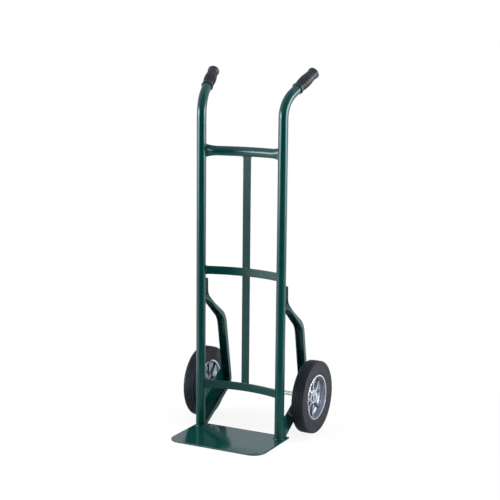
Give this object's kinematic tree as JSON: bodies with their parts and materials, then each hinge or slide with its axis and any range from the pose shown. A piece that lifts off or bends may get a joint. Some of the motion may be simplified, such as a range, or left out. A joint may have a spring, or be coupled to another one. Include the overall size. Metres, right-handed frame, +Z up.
{
  "type": "hand truck",
  "caption": "Upright two-wheeled hand truck with bent twin handles, bowed crosspieces, a flat toe plate and spoked wheels with solid rubber tyres.",
  "frame": {"origin": "on the floor, under the middle of the truck's width and of its length from toe plate to wheels", "axes": "+Z up, +Y from the toe plate towards the wheels, +X across the truck along the axle"},
  "size_m": [0.4678, 0.462, 1.261],
  "materials": {
    "green_enamel": "gloss",
    "zinc_steel": "satin",
    "bearing_steel": "polished",
    "cast_aluminium": "satin",
    "tyre_rubber": "matte",
    "grip_rubber": "matte"
  },
  "bodies": {
    "frame": {"toe_plate": "green_enamel", "left_upright": "green_enamel", "right_upright": "green_enamel", "top_crosspiece": "green_enamel", "middle_crosspiece": "green_enamel", "lower_crosspiece": "green_enamel", "centre_strap": "green_enamel", "left_bracket": "green_enamel", "right_bracket": "green_enamel", "left_grip": "grip_rubber", "right_grip": "grip_rubber", "axle": "zinc_steel", "left_inner_washer": "zinc_steel", "left_spacer": "zinc_steel", "left_outer_washer": "zinc_steel", "left_cotter_pin": "zinc_steel", "left_inner_races": "bearing_steel", "right_inner_washer": "zinc_steel", "right_spacer": "zinc_steel", "right_outer_washer": "zinc_steel", "right_cotter_pin": "zinc_steel", "right_inner_races": "bearing_steel"},
    "left_wheel": {"left_tyre": "tyre_rubber", "left_hub": "cast_aluminium", "left_outer_races": "bearing_steel"},
    "left_ball_sets": {"left_balls": "bearing_steel", "left_ball_cages": "zinc_steel"},
    "right_wheel": {"right_tyre": "tyre_rubber", "right_hub": "cast_aluminium", "right_outer_races": "bearing_steel"},
    "right_ball_sets": {"right_balls": "bearing_steel", "right_ball_cages": "zinc_steel"}
  },
  "joints": [
    {"name": "left_wheel_spin", "type": "hinge", "parent": "frame", "child": "left_wheel", "pos_m": [-0.204, 0.104, 0.127], "axis": [1, 0, 0], "continuous": true},
    {"name": "left_ball_orbit", "type": "hinge", "parent": "frame", "child": "left_ball_sets", "pos_m": [-0.204, 0.104, 0.127], "axis": [1, 0, 0], "continuous": true},
    {"name": "right_wheel_spin", "type": "hinge", "parent": "frame", "child": "right_wheel", "pos_m": [0.204, 0.104, 0.127], "axis": [1, 0, 0], "continuous": true},
    {"name": "right_ball_orbit", "type": "hinge", "parent": "frame", "child": "right_ball_sets", "pos_m": [0.204, 0.104, 0.127], "axis": [1, 0, 0], "continuous": true}
  ],
  "couplings": [
    {"joint": "left_ball_orbit", "follows": "left_wheel_spin", "ratio": 0.62598},
    {"joint": "right_ball_orbit", "follows": "right_wheel_spin", "ratio": 0.62598}
  ]
}
